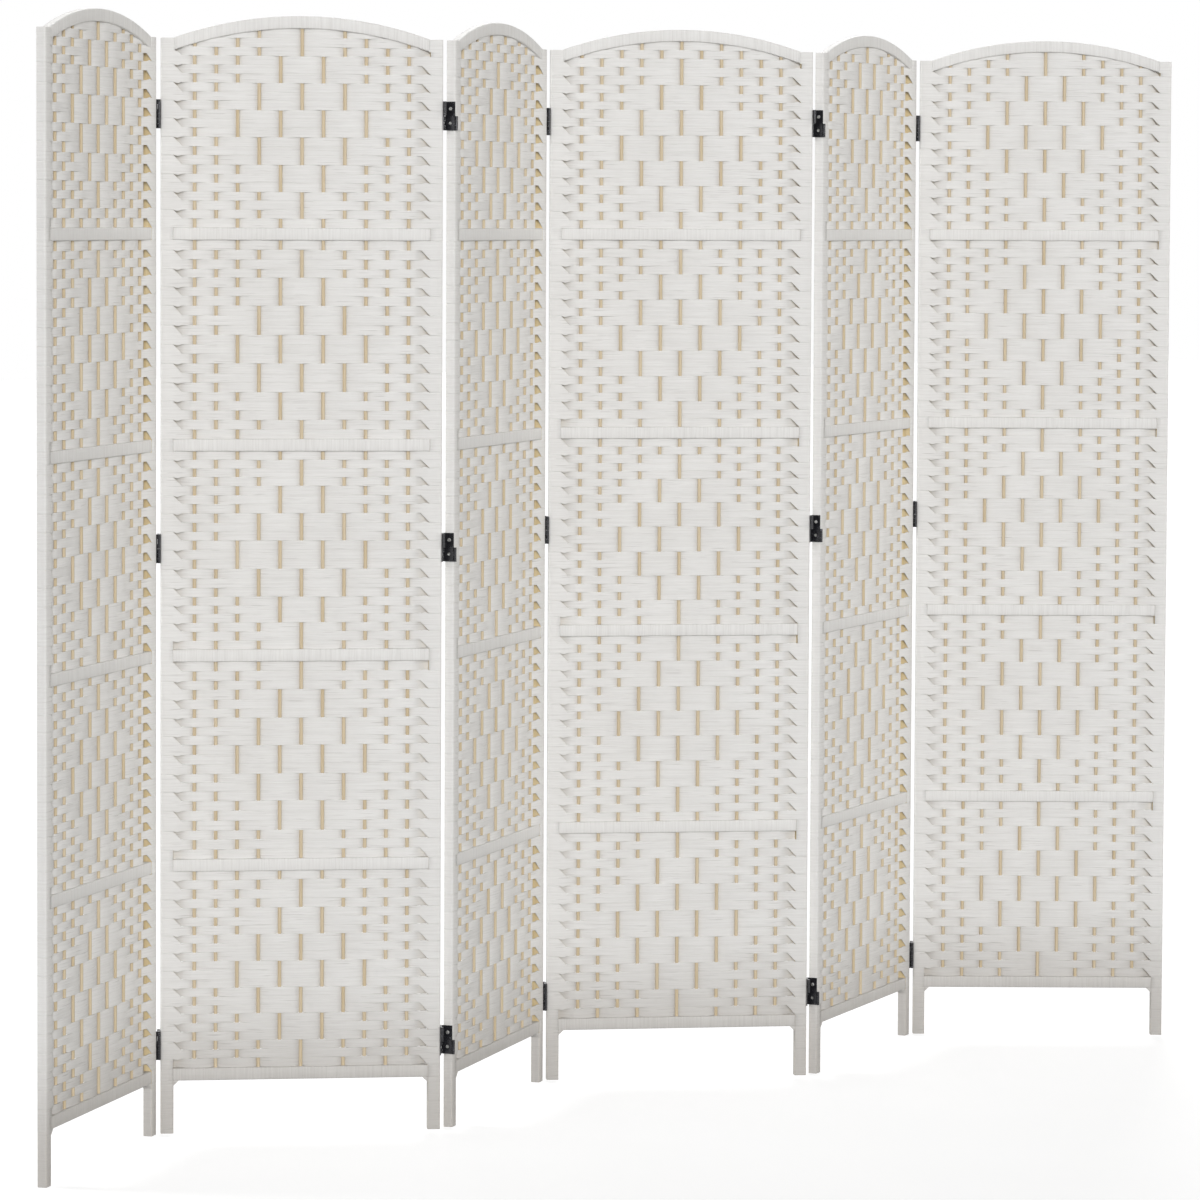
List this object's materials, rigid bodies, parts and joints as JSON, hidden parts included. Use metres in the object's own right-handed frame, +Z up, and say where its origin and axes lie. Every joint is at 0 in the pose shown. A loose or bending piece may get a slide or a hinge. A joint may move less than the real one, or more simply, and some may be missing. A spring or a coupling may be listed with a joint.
{
  "type": "folding privacy screen",
  "caption": "Free-standing folding room divider of arched wooden frames filled with paper strand woven in diamonds over upright rods, joined edge to edge by two-way hinges.",
  "frame": {"origin": "on the floor, in the middle of the standing screen's box", "axes": "+Z up, X along the zigzag from the near end to the far end of the picture, front to -Y"},
  "size_m": [2.3538, 0.3086, 1.79],
  "materials": {
    "bare_wood": "matte",
    "wrapped_wood": "matte",
    "woven_paper": "matte",
    "hinge_steel": "satin",
    "screw_steel": "satin"
  },
  "bodies": {
    "panel_1": {"panel_1_left_stile": "bare_wood", "panel_1_right_stile": "bare_wood", "panel_1_rails": "wrapped_wood", "panel_1_top_arch": "wrapped_wood", "panel_1_rods": "bare_wood", "panel_1_weave": "woven_paper", "panel_1_hinge_leaves": "hinge_steel", "panel_1_hinge_links": "hinge_steel", "panel_1_hinge_pins": "hinge_steel", "panel_1_hinge_screws": "screw_steel"},
    "panel_2": {"panel_2_left_stile": "bare_wood", "panel_2_right_stile": "bare_wood", "panel_2_rails": "wrapped_wood", "panel_2_top_arch": "wrapped_wood", "panel_2_rods": "bare_wood", "panel_2_weave": "woven_paper", "panel_2_hinge_leaves": "hinge_steel", "panel_2_hinge_links": "hinge_steel", "panel_2_hinge_pins": "hinge_steel", "panel_2_hinge_screws": "screw_steel"},
    "panel_3": {"panel_3_left_stile": "bare_wood", "panel_3_right_stile": "bare_wood", "panel_3_rails": "wrapped_wood", "panel_3_top_arch": "wrapped_wood", "panel_3_rods": "bare_wood", "panel_3_weave": "woven_paper", "panel_3_hinge_leaves": "hinge_steel", "panel_3_hinge_links": "hinge_steel", "panel_3_hinge_pins": "hinge_steel", "panel_3_hinge_screws": "screw_steel"},
    "panel_4": {"panel_4_left_stile": "bare_wood", "panel_4_right_stile": "bare_wood", "panel_4_rails": "wrapped_wood", "panel_4_top_arch": "wrapped_wood", "panel_4_rods": "bare_wood", "panel_4_weave": "woven_paper", "panel_4_hinge_leaves": "hinge_steel", "panel_4_hinge_links": "hinge_steel", "panel_4_hinge_pins": "hinge_steel", "panel_4_hinge_screws": "screw_steel"},
    "panel_5": {"panel_5_left_stile": "bare_wood", "panel_5_right_stile": "bare_wood", "panel_5_rails": "wrapped_wood", "panel_5_top_arch": "wrapped_wood", "panel_5_rods": "bare_wood", "panel_5_weave": "woven_paper", "panel_5_hinge_leaves": "hinge_steel", "panel_5_hinge_links": "hinge_steel", "panel_5_hinge_pins": "hinge_steel", "panel_5_hinge_screws": "screw_steel"},
    "panel_6": {"panel_6_left_stile": "bare_wood", "panel_6_right_stile": "bare_wood", "panel_6_rails": "wrapped_wood", "panel_6_top_arch": "wrapped_wood", "panel_6_rods": "bare_wood", "panel_6_weave": "woven_paper", "panel_6_hinge_leaves": "hinge_steel", "panel_6_hinge_links": "hinge_steel", "panel_6_hinge_pins": "hinge_steel", "panel_6_hinge_screws": "screw_steel"}
  },
  "joints": [
    {"name": "fold_1", "type": "hinge", "parent": "panel_2", "child": "panel_1", "pos_m": [-0.79989, 0.11247, 0], "axis": [0, 0, 1], "range_deg": [-67, 111]},
    {"name": "fold_2", "type": "hinge", "parent": "panel_3", "child": "panel_2", "pos_m": [-0.39892, -0.10325, 0], "axis": [0, 0, -1], "range_deg": [-65, 113]},
    {"name": "fold_3", "type": "hinge", "parent": "panel_3", "child": "panel_4", "pos_m": [-0.0098, 0.13316, 0], "axis": [0, 0, -1], "range_deg": [-64, 114]},
    {"name": "fold_4", "type": "hinge", "parent": "panel_4", "child": "panel_5", "pos_m": [0.39487, -0.07553, 0], "axis": [0, 0, 1], "range_deg": [-58, 120]},
    {"name": "fold_5", "type": "hinge", "parent": "panel_5", "child": "panel_6", "pos_m": [0.80658, 0.11891, 0], "axis": [0, 0, -1], "range_deg": [-65.5, 112.5]}
  ]
}
